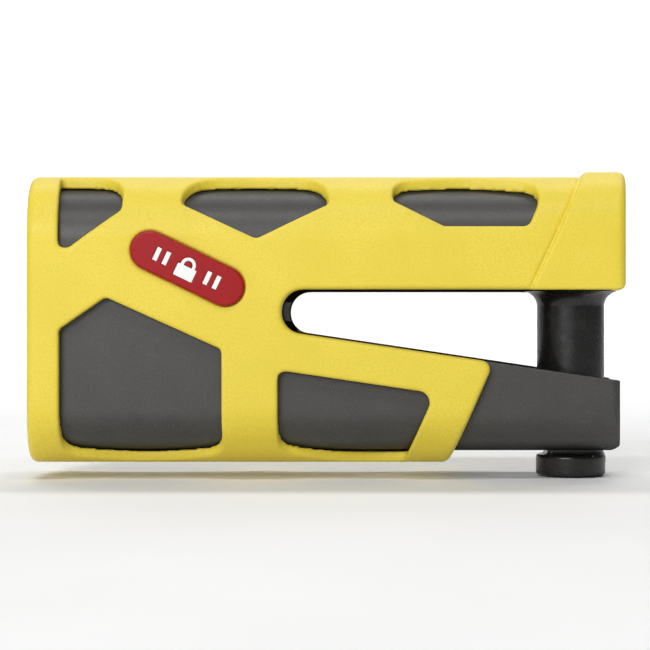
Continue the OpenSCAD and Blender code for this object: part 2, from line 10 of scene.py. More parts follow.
import bpy
import numpy as np
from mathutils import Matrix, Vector

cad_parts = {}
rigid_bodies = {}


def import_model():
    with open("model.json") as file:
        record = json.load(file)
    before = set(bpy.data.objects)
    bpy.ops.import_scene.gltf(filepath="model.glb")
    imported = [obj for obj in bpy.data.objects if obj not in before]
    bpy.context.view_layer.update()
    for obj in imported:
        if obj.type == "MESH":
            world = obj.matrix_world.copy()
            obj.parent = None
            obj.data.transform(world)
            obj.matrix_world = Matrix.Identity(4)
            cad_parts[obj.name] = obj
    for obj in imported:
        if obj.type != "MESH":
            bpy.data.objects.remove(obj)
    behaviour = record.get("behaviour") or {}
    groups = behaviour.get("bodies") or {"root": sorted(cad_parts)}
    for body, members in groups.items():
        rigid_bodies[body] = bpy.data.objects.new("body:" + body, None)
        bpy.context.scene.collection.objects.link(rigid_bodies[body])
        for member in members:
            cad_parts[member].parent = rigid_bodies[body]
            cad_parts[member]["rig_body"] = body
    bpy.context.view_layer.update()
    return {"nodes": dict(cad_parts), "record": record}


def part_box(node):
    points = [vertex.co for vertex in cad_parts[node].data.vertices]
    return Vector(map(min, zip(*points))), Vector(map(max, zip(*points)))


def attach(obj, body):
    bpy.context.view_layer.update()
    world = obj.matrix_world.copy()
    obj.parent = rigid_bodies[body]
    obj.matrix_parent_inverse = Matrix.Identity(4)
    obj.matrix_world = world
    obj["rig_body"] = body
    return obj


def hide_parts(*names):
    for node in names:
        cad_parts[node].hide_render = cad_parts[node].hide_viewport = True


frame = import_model()
MM = 0.001

# ---- Sizes, in millimetres, from the CAD boxes and the design's own outlines -------------------------


def span(node):
    """Lowest and highest corner of a CAD node in millimetres."""
    low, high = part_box(node)
    return [c / MM for c in low], [c / MM for c in high]


cover_low = span("front_cover")[0]
rear_high = span("rear_cover")[1]
jaw_low, jaw_high = span("sled_jaw")
body_low, body_high = span("lock_frame")
bolt_low, bolt_high = span("locking_bolt")
badge_front = span("badge_plate")[0][1]

# The nose cap: how far it stands proud in CAD, how much further here, and the groove along its foot
CAP_PROUD = 0.2
CAP_EXTRA = 0.1
CAP_RISE = 0.95
GROOVE_DEEP = 0.25
GROOVE_WIDE = 0.6
REAR_X = cover_low[0]
NOSE_X = rear_high[0] - CAP_PROUD
TOP_Z = rear_high[2] - CAP_RISE
BOTTOM_Z = cover_low[2]
COVER_HALF = rear_high[1] - CAP_PROUD
COVER_R = 12.5
COVER_LOW_R = 11
BOW_R = 90
END_R = 1.3
LEAN = 0.44

BODY_HALF = body_high[1]
BODY_R = 10.5
BODY_TOP_Z = body_high[2]
BODY_X0, BODY_X1 = body_low[0], body_high[0]
KEEL_END_Z = body_low[2]

JAW_HALF = jaw_high[1]
JAW_R = 8
# The jaw's tip is bowed here, and its middle reaches this far past the CAD's flat tip
TIP_BOW = 0.6
JAW_X0, JAW_X1 = jaw_low[0], jaw_high[0] + TIP_BOW
JAW_LOW_Z = jaw_low[2]
JAW_TOP_Z = jaw_high[2]

ROOF_Z = JAW_TOP_Z + 0.3
# Sections that are rounded only at the top end here, well below the roof
ARCH_LOW_Z = ROOF_Z - 30
THROAT_X = -55.1
THROAT_R = 4
FLOOR_Z0 = -7.83
FLOOR_SLOPE = math.tan(math.radians(8.41))
SHEATH_X = -15.55
CAP_LOW_X = -8.6
CAP_LEAN = 0.47
KEEL_X0, KEEL_X1, KEEL_HALF = -63, -57, 4
SLOT_X1 = -31.1
SCREWS = [(-86, 13.2), (-59.3, 5.2), (-40.6, 17.5), (-14.5, 13.5)]
NUT_BOSS_R, NUT_BOSS_LEN, CORE_R = 2.4, 8, 1.15
SCREW_BOSS_R, SCREW_BOSS_LEN, SHANK_HOLE_R, SCREW_HEAD_R = 3.2, 3.4, 1.6, 2.65
BOSS_SKIN = 0.8
HEAD_SEAT = 2.4
CYL_Z = -4
BARREL_R = 8.53
EJECT_Z, EJECT_R, EJECT_MOUTH_R = -16.9, 3.6, 4.1
BOLT_R = 6.5
CROSS_PIN_Z, CROSS_PIN_R = 18, 2.02
NECK_REAR_X, NECK_HALF = -4.85, 4.7
NECK_Z, HEAD_Z = -12.5, -23.6
FLARE_W, FLARE_H = 3.0, 2.9
LATCH_X0, LATCH_X1, LATCH_HALF = -72.9, -65.1, 4.9
LATCH_POCKET_Z, LATCH_TOP_Z, LATCH_LIFT = -12.5, 7.4, 4.24
TRAVEL = 25
RAIL_Z0, RAIL_Z1, RAIL_IN, RAIL_OUT = -9, -6, 2.15, 7
PLATE_SCREW_Y, PLATE_SCREW_Z = 9.6, -16
SCREW_DEPTH = 6
LOCK_PIN_X, LOCK_PIN_Z = -86, -11.9

# Gaps between pieces
FIT = 0.1
TUNNEL_GAP = 0.25
SEAL_DEEP = 0.88


def floor_z(x):
    """Height of the mouth's floor at x."""
    return FLOOR_Z0 - FLOOR_SLOPE * x


# ---- Distance fields ---------------------------------------------------------------------------------


def hypot_of(a, b):
    return np.sqrt(np.maximum(a, 0) ** 2 + np.maximum(b, 0) ** 2)


def both(a, b, r=0.0):
    """Where a and b overlap, with edges rounded to r."""
    if r <= 0:
        return np.maximum(a, b)
    return np.minimum(-r, np.maximum(a, b)) + hypot_of(a + r, b + r)


def either(a, b, r=0.0):
    """a and b joined, with the inner corner filled to r."""
    if r <= 0:
        return np.minimum(a, b)
    return np.maximum(r, np.minimum(a, b)) - hypot_of(r - a, r - b)


def less(a, b, r=0.0):
    """a with b cut away, edges rounded to r."""
    return both(a, -b, r)


def slab(v, low, high):
    return np.maximum(low - v, v - high)


def brick(x, y, z, low, high):
    """An exact box between two corners."""
    q = [np.abs(v - (a + b) / 2) - (b - a) / 2 for v, a, b in zip((x, y, z), low, high)]
    outside = np.sqrt(sum(np.maximum(c, 0) ** 2 for c in q))
    return outside + np.minimum(np.maximum(np.maximum(q[0], q[1]), q[2]), 0)


def section(y, z, half, low, high, r_low, r_high):
    """A bar's section: a rectangle with its own corner radius below and above its middle."""
    mid = (low + high) / 2
    r = np.where(z > mid, r_high, r_low)
    qy = np.abs(y) - half + r
    qz = np.abs(z - mid) - (high - low) / 2 + r
    return np.minimum(np.maximum(qy, qz), 0) + hypot_of(qy, qz) - r


def rod(a, b, ca, cb, r):
    """A round rod across the plane of a and b."""
    return np.sqrt((a - ca) ** 2 + (b - cb) ** 2) - r


def arc(p, q, s, r, steps):
    """Points of the arc of radius r that rounds corner q."""
    p, q, s = (np.array(v, float) for v in (p, q, s))
    u, v = (p - q) / np.linalg.norm(p - q), (s - q) / np.linalg.norm(s - q)
    half = math.acos(float(np.clip(u @ v, -1, 1))) / 2
    centre = q + (u + v) / np.linalg.norm(u + v) * r / math.sin(half)
    a0, a1 = q + u * r / math.tan(half) - centre, q + v * r / math.tan(half) - centre
    sweep = (math.pi - 2 * half) * (1 if a0[0] * a1[1] - a0[1] * a1[0] > 0 else -1)
    turns = [sweep * i / steps for i in range(steps + 1)]
    return [(centre[0] + a0[0] * math.cos(t) - a0[1] * math.sin(t),
             centre[1] + a0[0] * math.sin(t) + a0[1] * math.cos(t)) for t in turns]


def rounded(corners, steps=8):
    """An outline from corners given as (x, z, radius)."""
    points, count = [], len(corners)
    for i, (x, z, r) in enumerate(corners):
        before, after = corners[i - 1], corners[(i + 1) % count]
        points += [(x, z)] if r <= 0 else arc(before[:2], (x, z), after[:2], r, steps)
    return points


def outline(a, b, points):
    """Exact signed distance to a closed outline in the plane of a and b."""
    a, b = np.broadcast_arrays(a, b)
    best = np.full(a.shape, np.inf)
    inside = np.zeros(a.shape, bool)
    for (a0, b0), (a1, b1) in zip(points, points[1:] + points[:1]):
        ea, eb = a1 - a0, b1 - b0
        size = ea * ea + eb * eb
        if size < 1e-12:
            continue
        wa, wb = a - a0, b - b0
        t = np.clip((wa * ea + wb * eb) / size, 0, 1)
        best = np.minimum(best, (wa - ea * t) ** 2 + (wb - eb * t) ** 2)
        if eb:
            crosses = ((b0 <= b) != (b1 <= b)) & (a < a0 + ea * (b - b0) / eb)
            inside ^= crosses
    return np.where(inside, -1, 1) * np.sqrt(best)


# ---- From a distance field to a mesh -----------------------------------------------------------------


def dual_faces(solid, index, axis, keep):
    """Quads round each grid edge along axis that crosses the surface."""
    a = np.take(solid, range(0, solid.shape[axis] - 1), axis)
    b = np.take(solid, range(1, solid.shape[axis]), axis)
    u, v = [k for k in range(3) if k != axis]
    hit = np.argwhere(a != b)
    hit = hit[(hit[:, u] > 0) & (hit[:, v] > 0) & (hit[:, u] < keep[u]) & (hit[:, v] < keep[v])]
    starts_in = a[tuple(hit.T)]
    corners = []
    for du, dv in ((1, 1), (0, 1), (0, 0), (1, 0)):
        cell = hit.copy()
        cell[:, u] -= du
        cell[:, v] -= dv
        corners.append(index[tuple(cell.T)])
    quads = np.stack(corners, 1)
    flip = starts_in if axis != 1 else ~starts_in
    quads[~flip] = quads[~flip][:, ::-1]
    return quads


def mesh_of(name, field, low, high, pitch):
    """A closed mesh of field's surface between two corners: one vertex per crossed cell, on the surface."""
    axes = [np.arange(a - 2 * pitch, b + 2.5 * pitch, pitch) for a, b in zip(low, high)]
    grid = np.broadcast_to(field(axes[0][:, None, None], axes[1][None, :, None], axes[2][None, None, :]),
                           [len(v) for v in axes])
    solid = grid < 0
    cells = [n - 1 for n in solid.shape]
    count = np.zeros(cells, np.int8)
    for dx in (0, 1):
        for dy in (0, 1):
            for dz in (0, 1):
                count += solid[dx:dx + cells[0], dy:dy + cells[1], dz:dz + cells[2]]
    mixed = np.argwhere((count > 0) & (count < 8))
    index = np.full(cells, -1, np.int64)
    index[tuple(mixed.T)] = np.arange(len(mixed))
    total, number = np.zeros((len(mixed), 3)), np.zeros(len(mixed))
    corners = [(dx, dy, dz) for dx in (0, 1) for dy in (0, 1) for dz in (0, 1)]
    for c in corners:
        for axis in range(3):
            if c[axis]:
                continue
            d = list(c)
            d[axis] = 1
            va, vb = grid[tuple((mixed + c).T)], grid[tuple((mixed + d).T)]
            cross = (va < 0) != (vb < 0)
            t = np.where(cross, va / np.where(cross, va - vb, 1), 0)
            point = np.tile(np.array(c, float), (len(mixed), 1))
            point[:, axis] += t
            total += np.where(cross[:, None], point, 0)
            number += cross
    cell_low = np.array([v[0] for v in axes]) + mixed * pitch
    points = cell_low + total / number[:, None] * pitch
    points = settle(field, points, pitch, cell_low)
    faces = np.concatenate([dual_faces(solid, index, axis, cells) for axis in range(3)])
    mesh = bpy.data.meshes.new(name)
    mesh.from_pydata((points * MM).tolist(), [], faces.tolist())
    mesh.update()
    mesh.shade_smooth()
    piece = bpy.data.objects.new(name, mesh)
    bpy.context.scene.collection.objects.link(piece)
    return piece


def slope(field, p, step):
    """Gradient of field at points p."""
    out = np.zeros_like(p)
    for axis in range(3):
        shift = np.zeros(3)
        shift[axis] = step
        a, b = p + shift, p - shift
        out[:, axis] = (field(*a.T) - field(*b.T)) / (2 * step)
    return out


def settle(field, points, pitch, cell_low):
    """Two Newton steps onto the surface, each point kept in its own cell."""
    margin = 0.02 * pitch
    for _ in range(2):
        value = field(*points.T)
        grade = slope(field, points, 0.05 * pitch)
        size = np.maximum((grade ** 2).sum(1), 0.1)
        points = points - (value / size)[:, None] * grade
        points = np.clip(points, cell_low + margin, cell_low + pitch - margin)
    return points


def skin(name, field, node, pitch, pad=0.0):
    """A finished piece that stands for one CAD node, on that node's body."""
    low, high = span(node)
    piece = mesh_of(name, field, [c - pad for c in low], [c + pad for c in high], pitch)
    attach(piece, frame["nodes"][node]["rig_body"])
    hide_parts(node)
    return piece


# ---- Cover -------------------------------------------------------------------------------------------

HIGH, LOW, OUT = TOP_Z + 6, BOTTOM_Z - 6, 30
SHEATH_Z = floor_z(SHEATH_X)
MOUTH_SIDE = [
    (SHEATH_X, SHEATH_Z, 1.7), (THROAT_X, floor_z(THROAT_X), THROAT_R), (THROAT_X, ROOF_Z, THROAT_R)]
# The outlines run on past the ends, above and below, where the bar's section and the bowed ends take over
COVER_OUTLINE = rounded([
    (REAR_X - 9, LOW, 0), (SHEATH_X - LEAN * (SHEATH_Z - LOW), LOW, 0), *MOUTH_SIDE, (NOSE_X + 9, ROOF_Z, 0),
    (NOSE_X + 9, HIGH, 0), (REAR_X - 9, HIGH, 0)])
CAP_X, CAP_Z = NOSE_X + CAP_PROUD, TOP_Z + CAP_RISE
CAP_TOP_X = CAP_LOW_X + CAP_LEAN * (CAP_Z - ROOF_Z)
CAP_OUTLINE = rounded([
    (CAP_LOW_X, ROOF_Z, 0), (CAP_X + 9, ROOF_Z, 0), (CAP_X + 9, CAP_Z, 0), (CAP_TOP_X, CAP_Z, 1.3)])
CAP_CUT = rounded([
    (CAP_LOW_X, ROOF_Z, 0), (CAP_X + 9, ROOF_Z, 0), (CAP_X + 9, HIGH, 0),
    (CAP_LOW_X + CAP_LEAN * (HIGH - ROOF_Z), HIGH, 0)])

# Each window: its outline from the front, and its outline from above
WINDOWS = [
    ([(-98.6, HIGH, 0), (-96.8, 14.2, 1.8), (-84.8, 23, 2), (-84.8, HIGH, 0)],
     [(-94.9, OUT, 0), (-84.8, OUT, 0), (-84.8, 6.2, 7), (-97.7, 5.6, 0.5)]),
    ([(-74.2, HIGH, 0), (-74.2, 24.1, 1.6), (-59.8, 17.4, 1.7), (-46.1, 24.1, 1.6), (-46.1, HIGH, 0)],
     [(-74.2, OUT, 0), (-46.1, OUT, 0), (-46.1, 6.9, 8), (-60.2, 5.7, 40), (-74.2, 6.6, 8)]),
    ([(-34.6, HIGH, 0), (-34.6, 24.7, 1.4), (-24.9, 19.75, 0.8), (-9.1, 19.75, 1.6),
      (-9.1 + 0.45 * (HIGH - 19.75), HIGH, 0)],
     [(-34.6, OUT, 0), (-7.1, OUT, 0), (-7.1, 8.8, 4), (-21.5, 5.9, 25), (-34.6, 7.9, 4.5)]),
    ([(-96.6, LOW, 0), (-96.6, 0.5, 1.4), (-87.8, 6.6, 1.4), (-66.1, -3.2, 1.5), (-66.1, LOW, 0)],
     [(-96.6, OUT, 0), (-66.1, OUT, 0), (-66.1, 10.1, 4.2), (-80.5, 6.7, 30), (-96.6, 10.1, 4.6)]),
    ([(-56, LOW, 0), (-56, -6.95, 1.7), (-26.6, -11.3, 2.2), (-26.6 - LEAN * (-11.3 - LOW), LOW, 0)],
     [(-56, OUT, 0), (-24, OUT, 0), (-24, 9.6, 0), (-38, 5, 16), (-56, 10.9, 4.2)])]
WINDOW_EDGE = 0.5
PILL = (-72.5, 11.9, math.radians(-25.7), 7.7, 3.66)


def pill(x, z, grow=0.0):
    """The badge's outline."""
    cx, cz, tilt, half, r = PILL
    u = (x - cx) * math.cos(tilt) + (z - cz) * math.sin(tilt)
    v = -(x - cx) * math.sin(tilt) + (z - cz) * math.cos(tilt)
    return np.sqrt(np.maximum(np.abs(u) - half, 0) ** 2 + v * v) - r - grow


def window_field(x, y, z, window):
    front, above = window
    return both(outline(x, z, rounded(front)), outline(x, np.abs(y), rounded(above)), 0.5)


def bow(x, y, low, high):
    """The space between two ends that are bowed as seen from above."""
    return np.maximum(rod(x, y, high - BOW_R, 0, BOW_R), rod(x, y, low + BOW_R, 0, BOW_R))


def groove_field(x, y, z):
    """A fine groove in the cover's surface, along the foot of the cap."""
    across = (x - CAP_LOW_X - CAP_LEAN * (z - ROOF_Z)) * math.cos(math.atan(CAP_LEAN))
    depth = -section(y, z, COVER_HALF, ARCH_LOW_Z, TOP_Z, 0, COVER_R)
    groove = both(slab(across, -GROOVE_WIDE, -0.02), depth - GROOVE_DEEP, 0.1)
    return both(groove, ROOF_Z - 1 - z)


def cover_field(x, y, z):
    """Both halves of the cover, closed, with nothing cut for screws or badge."""
    bar = section(y, z, COVER_HALF, BOTTOM_Z, TOP_Z, COVER_LOW_R, COVER_R)
    body = both(both(bar, outline(x, z, COVER_OUTLINE), 0.9), bow(x, y, REAR_X, NOSE_X), END_R)
    body = less(body, groove_field(x, y, z), 0.12)
    cap = section(y, z, COVER_HALF + CAP_PROUD + CAP_EXTRA, ARCH_LOW_Z, CAP_Z, 0, COVER_R)
    cap = both(both(cap, outline(x, z, CAP_CUT), 0.3), outline(x, z, CAP_OUTLINE))
    body = either(body, both(cap, bow(x, y, REAR_X, CAP_X), END_R), 0.12)
    for window in WINDOWS:
        body = less(body, window_field(x, y, z, window), WINDOW_EDGE)
    return body


def inside_field(x, y, z):
    """The arm's cavity and the jaw's tunnel."""
    arm = both(section(y, z, BODY_HALF + FIT, ARCH_LOW_Z, BODY_TOP_Z + FIT, 0, BODY_R),
               slab(x, BODY_X0 - FIT, BODY_X1 + FIT))
    arm = both(arm, ROOF_Z - 1 - z)
    tunnel = section(y, z, JAW_HALF + TUNNEL_GAP, JAW_LOW_Z - TUNNEL_GAP, ROOF_Z + 8, JAW_R, 0)
    tunnel = both(tunnel, z - ROOF_Z)
    seal_top_z = JAW_TOP_Z + SEAL_DEEP + 0.1
    seal = section(y, z, JAW_HALF + SEAL_DEEP, JAW_LOW_Z - SEAL_DEEP, seal_top_z, JAW_R + 0.8, 1)
    seal = both(seal, slab(x, JAW_X0 - 1.48, JAW_X0 - 0.42))
    return either(either(arm, tunnel), seal)


def front_field(x, y, z):
    body = less(cover_field(x, y, z), inside_field(x, y, z), 0.1)
    for sx, sz in SCREWS:
        foot_y = -COVER_HALF + BOSS_SKIN
        body = either(body, both(rod(x, z, sx, sz, NUT_BOSS_R), slab(y, foot_y, foot_y + NUT_BOSS_LEN)))
        body = less(body, both(rod(x, z, sx, sz, CORE_R), slab(y, foot_y + 1.2, 0)))
    body = less(body, both(pill(x, z, 0.12), y + COVER_HALF - 0.5), 0.12)
    return both(body, y, 0.12)


def rear_field(x, y, z):
    body = less(cover_field(x, y, z), inside_field(x, y, z), 0.1)
    for sx, sz in SCREWS:
        foot_y = COVER_HALF - BOSS_SKIN
        body = either(body, both(rod(x, z, sx, sz, SCREW_BOSS_R), slab(y, foot_y - SCREW_BOSS_LEN, foot_y)))
        body = less(body, both(rod(x, z, sx, sz, SHANK_HOLE_R), -y))
        body = less(body, both(rod(x, z, sx, sz, SCREW_HEAD_R), COVER_HALF - HEAD_SEAT - y), 0.35)
    return both(body, -y, 0.12)


# ---- Frame, jaw, bolt --------------------------------------------------------------------------------


def frame_field(x, y, z):
    arm = both(section(y, z, BODY_HALF, ARCH_LOW_Z, BODY_TOP_Z, 0, BODY_R), slab(x, BODY_X0, BODY_X1), 0.8)
    arm = both(arm, ROOF_Z - z, 0.3)
    web_x1, web_gap = THROAT_X + THROAT_R, 0.2
    web = [(KEEL_X0, floor_z(KEEL_X0) + web_gap), (KEEL_X0, ROOF_Z + 2), (web_x1, ROOF_Z + 2),
           (web_x1, floor_z(web_x1) + web_gap)]
    far = 40
    mouth = rounded([(THROAT_X, floor_z(THROAT_X), THROAT_R), (far, floor_z(far), 0), (far, ROOF_Z, 0),
                     (THROAT_X, ROOF_Z, THROAT_R)], 12)
    stem = both(less(outline(x, z, web), outline(x, z, mouth), 0.3), np.abs(y) - JAW_HALF - FIT, 0.3)
    stem = less(stem, brick(x, y, z, (THROAT_X + 2.6, -40, -10), (0, 40, 3)))
    keel = brick(x, y, z, (KEEL_X0, -KEEL_HALF, KEEL_END_Z), (KEEL_X1, KEEL_HALF, ROOF_Z + 1))
    body = either(either(arm, stem), keel)
    bore = both(np.sqrt(x * x + y * y) - BOLT_R - 0.02, slab(z, ROOF_Z - 1, 24.2))
    body = less(body, bore, 0.15)
    for dx in (0, -TRAVEL):
        low = (LATCH_X0 - 0.4 + dx, -LATCH_HALF - 0.4, ROOF_Z - 1)
        high = (LATCH_X1 + 0.4 + dx, LATCH_HALF + 0.4, LATCH_TOP_Z + LATCH_LIFT + 1)
        body = less(body, brick(x, y, z, low, high), 0.2)
    across = np.maximum(RAIL_IN - np.abs(y), slab(x, KEEL_X0 - 1, KEEL_X1 + 1))
    body = less(body, both(slab(z, RAIL_Z0 - 0.15, RAIL_Z1 + 0.15), across))
    foot_y = COVER_HALF - BOSS_SKIN
    for sx, sz in SCREWS:
        way = rod(x, z, sx, sz, 0)
        body = less(body, way - SHANK_HOLE_R - 0.1)
        body = less(body, np.maximum(way - NUT_BOSS_R - 0.2, y + foot_y - NUT_BOSS_LEN - 0.3))
        body = less(body, np.maximum(way - SCREW_BOSS_R - 0.2, foot_y - SCREW_BOSS_LEN - 0.3 - y))
    body = less(body, rod(x, z, 0, CROSS_PIN_Z, CROSS_PIN_R))
    pad = brick(x, y, z, (THROAT_X - 1.25, -8.05, 2.15), (THROAT_X + 1.85, 8.05, 5.85))
    return less(body, pad, 0.1)


STEP_X = KEEL_X0 - 0.2
JAW_TIP = [(JAW_X1, JAW_LOW_Z + 1.4, 0.3), (JAW_X1, floor_z(JAW_X1), 0.4)]
JAW_OUTLINE = rounded([
    (JAW_X0, LOW, 0), (JAW_X1 - 1.5 + LOW - JAW_LOW_Z, LOW, 0), *JAW_TIP,
    (STEP_X, floor_z(STEP_X), 0.3), (STEP_X, JAW_TOP_Z, 0.4), (JAW_X0, JAW_TOP_Z, 0.8)])
NOSE_CHAMFER = 1.9


def jaw_field(x, y, z):
    body = both(section(y, z, JAW_HALF, JAW_LOW_Z, JAW_TOP_Z + 10, JAW_R, 0), outline(x, z, JAW_OUTLINE), 0.3)
    above = rounded([(JAW_X0, -1, 0), (JAW_X1, -1, 0), (JAW_X1, JAW_HALF - NOSE_CHAMFER, 0.3),
                     (JAW_X1 - NOSE_CHAMFER, JAW_HALF, 0.3), (JAW_X0, JAW_HALF, 0)])
    body = both(both(body, outline(x, np.abs(y), above), 0.2), bow(x, y, JAW_X0 - 9, JAW_X1), 0.2)
    seat_r = BOLT_R + 0.9
    neck_z, neck_rear, neck_half = NECK_Z - 0.2, NECK_REAR_X - 0.15, NECK_HALF + 0.15
    seat = np.minimum(rod(x, y, 0, 0, seat_r), np.maximum(np.abs(y) - seat_r, -x))
    body = less(body, both(seat, neck_z - z), 0.3)
    body = less(body, brick(x, y, z, (neck_rear, -neck_half, -40), (40, neck_half, 20)), 0.3)
    slot_x0, slot_half = KEEL_X0 - 0.3, KEEL_HALF + 0.15
    body = less(body, brick(x, y, z, (slot_x0, -slot_half, KEEL_END_Z - 0.3), (SLOT_X1, slot_half, 20)), 0.25)
    rails = both(slab(z, RAIL_Z0, RAIL_Z1), np.maximum(np.abs(y) - RAIL_OUT, slab(x, slot_x0, SLOT_X1)))
    body = less(body, rails)
    body = less(body, both(rod(y, z, 0, CYL_Z, BARREL_R), x - LATCH_X0), 0.3)
    well_half = LATCH_HALF + 0.1
    well = brick(x, y, z, (LATCH_X0 - 0.1, -well_half, LATCH_POCKET_Z), (LATCH_X1 + 0.1, well_half, 20))
    body = less(body, well, 0.2)
    body = less(body, both(rod(y, z, 0, EJECT_Z, EJECT_R), x - KEEL_X0 - 0.7))
    body = less(body, both(rod(y, z, 0, EJECT_Z, EJECT_MOUTH_R), x - JAW_X0 - SCREW_DEPTH), 0.15)
    for side in (-1, 1):
        hole = rod(y, z, side * PLATE_SCREW_Y, PLATE_SCREW_Z, 1.1)
        body = less(body, both(hole, x - JAW_X0 - SCREW_DEPTH), 0.1)
    return less(body, both(rod(x, z, LOCK_PIN_X, LOCK_PIN_Z, 1.27), -9.1 - y), 0.15)


def bolt_field(x, y, z):
    reach = np.sqrt(x * x + y * y)
    root_z = ROOF_Z - 0.05
    rise = np.clip((z - root_z) / FLARE_H + 1, 0, 1)
    flare = np.where(z <= root_z, FLARE_W * (1 - np.sqrt(1 - rise * rise)), 0)
    shank = both(reach - BOLT_R - flare, slab(z, NECK_Z, bolt_high[2]), 0.5)
    shank = both(shank, x - NOSE_X + 0.3, 0.4)
    neck = both(both(reach - BOLT_R + 0.1, slab(z, HEAD_Z - 1, NECK_Z + 2)),
                np.maximum(NECK_REAR_X - x, np.abs(y) - NECK_HALF), 0.3)
    head = both(reach - BOLT_R - 0.2, slab(z, bolt_low[2], HEAD_Z), 0.5)
    return less(either(either(shank, neck, 0.25), head, 0.7), rod(x, z, 0, CROSS_PIN_Z, CROSS_PIN_R))


# ---- Badge -------------------------------------------------------------------------------------------


def badge_field(x, y, z):
    plate = both(pill(x, z), slab(y, badge_front, -COVER_HALF + 0.45), 0.42)
    return less(plate, both(emblem_plan(x, z) - 0.08, y - badge_front - 0.2))


def emblem_plan(x, z):
    """A closed padlock between two pairs of bars, seen from the front."""
    cx, cz, tilt = PILL[:3]
    u = (x - cx) * math.cos(tilt) + (z - cz) * math.sin(tilt)
    v = -(x - cx) * math.sin(tilt) + (z - cz) * math.cos(tilt)
    zero = np.zeros_like(u)
    case = brick(u, v, zero, (-1.75, -1.95, -9), (1.75, 0.15, 9)) - 0.15
    loop = np.abs(np.sqrt(u * u + (v - 0.6) ** 2) - 1.12) - 0.32
    legs = np.maximum(np.abs(np.abs(u) - 1.12) - 0.32, slab(v, 0, 0.6))
    mark = np.minimum(case, np.minimum(np.maximum(loop, 0.6 - v), legs))
    for k in (4.2, 6.1):
        mark = np.minimum(mark, np.maximum(np.abs(np.abs(u) - k) - 0.3, np.abs(v) - 1.15) - 0.15)
    return mark


def emblem_field(x, y, z):
    return both(emblem_plan(x, z), slab(y, badge_front - 0.02, badge_front + 0.19), 0.08)


# ---- Materials ---------------------------------------------------------------------------------------


def linear(code):
    """A #rrggbb colour as linear RGBA."""
    parts = [int(code[i:i + 2], 16) / 255 for i in (1, 3, 5)]
    return [c / 12.92 if c <= 0.04045 else ((c + 0.055) / 1.055) ** 2.4 for c in parts] + [1]


SHADER_INPUTS = {"metallic": "Metallic", "specular": "Specular IOR Level", "coat": "Coat Weight"}


class Nodes:
    """A material's node tree, with short calls to add and join nodes."""

    def __init__(self, name):
        self.material = bpy.data.materials.new(name)
        self.material.use_nodes = True
        self.tree = self.material.node_tree
        self.shader = self.tree.nodes["Principled BSDF"]
        self.coords = self.add("ShaderNodeTexCoord").outputs["Object"]

    def add(self, kind, **settings):
        node = self.tree.nodes.new(kind)
        for key, value in settings.items():
            setattr(node, key, value)
        return node

    def join(self, source, target):
        self.tree.links.new(source, target)

    def noise(self, size_mm, detail=3.0, roughness=0.5, stretch=None):
        """Noise with features of about size_mm."""
        node = self.add("ShaderNodeTexNoise")
        node.inputs["Scale"].default_value = 1 / (size_mm * MM)
        node.inputs["Detail"].default_value = detail
        node.inputs["Roughness"].default_value = roughness
        self.join(self.stretched(stretch), node.inputs["Vector"])
        return node.outputs["Fac"]

    def stretched(self, stretch):
        if stretch is None:
            return self.coords
        node = self.add("ShaderNodeMapping")
        node.inputs["Scale"].default_value = stretch
        self.join(self.coords, node.inputs["Vector"])
        return node.outputs["Vector"]

    def ramp(self, source, low, high, to_low=0.0, to_high=1.0):
        node = self.add("ShaderNodeMapRange")
        for key, value in zip(("From Min", "From Max", "To Min", "To Max"), (low, high, to_low, to_high)):
            node.inputs[key].default_value = value
        self.join(source, node.inputs["Value"])
        return node.outputs["Result"]

    def mix(self, factor, a, b):
        """A colour between a and b, which are codes or sockets."""
        node = self.add("ShaderNodeMix", data_type="RGBA")
        self.join(factor, node.inputs[0])
        for socket, colour in zip((node.inputs[6], node.inputs[7]), (a, b)):
            if isinstance(colour, str):
                socket.default_value = linear(colour)
            else:
                self.join(colour, socket)
        return node.outputs[2]

    def by_angle(self, ahead, grazing):
        """A value that changes from what it is seen head-on to what it is at grazing angles."""
        node = self.add("ShaderNodeLayerWeight")
        node.inputs["Blend"].default_value = 0.5
        return self.ramp(node.outputs["Facing"], 0.35, 0.8, ahead, grazing)

    def bump(self, height, depth_mm, strength=1.0, below=None):
        node = self.add("ShaderNodeBump")
        node.inputs["Distance"].default_value = depth_mm * MM
        node.inputs["Strength"].default_value = strength
        self.join(height, node.inputs["Height"])
        if below is not None:
            self.join(below, node.inputs["Normal"])
        return node.outputs["Normal"]

    def finish(self, colour=None, roughness=None, normal=None, **values):
        pairs = (("Base Color", colour), ("Roughness", roughness), ("Normal", normal))
        for key, value in pairs:
            if value is None:
                continue
            if isinstance(value, str):
                self.shader.inputs[key].default_value = linear(value)
            elif isinstance(value, float):
                self.shader.inputs[key].default_value = value
            else:
                self.join(value, self.shader.inputs[key])
        for key, value in values.items():
            if isinstance(value, float):
                self.shader.inputs[SHADER_INPUTS[key]].default_value = value
            else:
                self.join(value, self.shader.inputs[SHADER_INPUTS[key]])
        return self.material


def yellow_plastic():
    n = Nodes("yellow_cover")
    grain = n.noise(0.34, 2.0, 0.55)
    blotch = n.noise(9.0, 2.0)
    colour = n.mix(n.ramp(blotch, 0.35, 0.65), "#e3cc40", "#e8d147")
    colour = n.mix(n.ramp(grain, 0.3, 0.6), "#dcc538", colour)
    rough = n.ramp(grain, 0.3, 0.7, 0.52, 0.4)
    normal = n.bump(grain, 0.05, 0.55)
    return n.finish(colour, rough, normal, specular=0.4)


